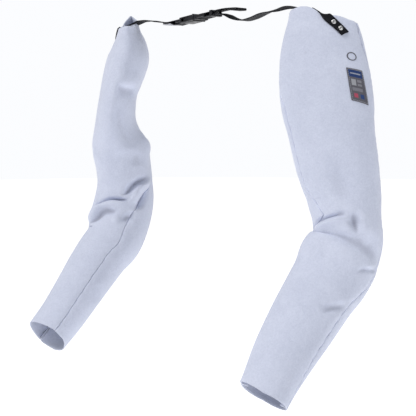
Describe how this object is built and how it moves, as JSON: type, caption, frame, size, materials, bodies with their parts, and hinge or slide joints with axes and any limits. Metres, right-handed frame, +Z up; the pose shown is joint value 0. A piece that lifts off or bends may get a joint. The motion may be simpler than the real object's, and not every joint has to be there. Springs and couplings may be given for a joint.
{
  "type": "welding sleeves",
  "caption": "Pair of split-leather welding sleeves, bent as worn, joined over the shoulders by a webbing strap with a side-release buckle.",
  "frame": {"origin": "midway between the wearer's shoulders, under the middle of the strap", "axes": "+Z up, -Y the way the wearer faces, +X to the wearer's left"},
  "size_m": [0.5784, 0.2419, 0.5406],
  "materials": {
    "leather": "matt suede, pale blue-grey",
    "webbing": "woven, black",
    "plastic": "moulded, black",
    "steel": "nickel plated",
    "label": "woven, colour blocks",
    "backing": "matt"
  },
  "bodies": {
    "right_strap": {"right_webbing": "webbing", "fold_backing": "backing", "buckle_socket": "plastic"},
    "buckle_plug_half": {"buckle_plug": "plastic"},
    "front_arm": {"front_latch_arm": "plastic"},
    "rear_arm": {"rear_latch_arm": "plastic"},
    "keeper": {"keeper_loop": "plastic"},
    "left_strap": {"left_webbing": "webbing"},
    "left_upper_sleeve": {"left_front_upper_panel": "leather", "left_back_upper_panel": "leather", "left_strap_end": "webbing", "left_upper_rivet_cap": "steel", "left_upper_rivet_burr": "steel", "left_lower_rivet_cap": "steel", "left_lower_rivet_burr": "steel", "sleeve_label": "label"},
    "left_forearm_sleeve": {"left_front_forearm_panel": "leather", "left_back_forearm_panel": "leather"},
    "right_upper_sleeve": {"right_front_upper_panel": "leather", "right_back_upper_panel": "leather", "right_strap_end": "webbing", "right_upper_rivet_cap": "steel", "right_upper_rivet_burr": "steel", "right_lower_rivet_cap": "steel", "right_lower_rivet_burr": "steel"},
    "right_forearm_sleeve": {"right_front_forearm_panel": "leather", "right_back_forearm_panel": "leather"}
  },
  "joints": [
    {"name": "buckle_release", "type": "slide", "parent": "right_strap", "child": "buckle_plug_half", "axis": [0.9925, 0, 0.1219], "range_m": [0, 0.045], "deforming": ["front_latch_arm", "rear_latch_arm"]},
    {"name": "front_arm_squeeze", "type": "hinge", "parent": "buckle_plug_half", "child": "front_arm", "pos_m": [-0.04879, 0.0018, 0.00435], "axis": [0.1219, 0, -0.9925], "range_deg": [0, 9], "stiffness_Nm_per_rad": 0.05},
    {"name": "rear_arm_squeeze", "type": "hinge", "parent": "buckle_plug_half", "child": "rear_arm", "pos_m": [-0.04879, 0.0202, 0.00435], "axis": [-0.1219, 0, 0.9925], "range_deg": [0, 9], "stiffness_Nm_per_rad": 0.05},
    {"name": "keeper_slide", "type": "slide", "parent": "buckle_plug_half", "child": "keeper", "axis": [0.9925, 0, 0.1219], "range_m": [-0.008, 0.008]},
    {"name": "strap_adjust", "type": "slide", "parent": "buckle_plug_half", "child": "left_strap", "axis": [0.9925, 0, 0.1219], "range_m": [-0.03, 0.035], "deforming": ["left_webbing"]},
    {"name": "left_shoulder_swing", "type": "hinge", "parent": "left_strap", "child": "left_upper_sleeve", "pos_m": [0.20224, -0.00743, -0.00251], "axis": [0, -1, 0], "range_deg": [0, 30]},
    {"name": "right_shoulder_swing", "type": "hinge", "parent": "right_strap", "child": "right_upper_sleeve", "pos_m": [-0.20224, -0.00743, -0.00251], "axis": [0, 1, 0], "range_deg": [0, 30]},
    {"name": "left_elbow_bend", "type": "hinge", "parent": "left_upper_sleeve", "child": "left_forearm_sleeve", "pos_m": [0.2405, 0.0125, -0.3], "axis": [-1, 0, 0], "range_deg": [-30, 30]},
    {"name": "right_elbow_bend", "type": "hinge", "parent": "right_upper_sleeve", "child": "right_forearm_sleeve", "pos_m": [-0.2405, 0.0125, -0.3], "axis": [-1, 0, 0], "range_deg": [-30, 30]}
  ]
}
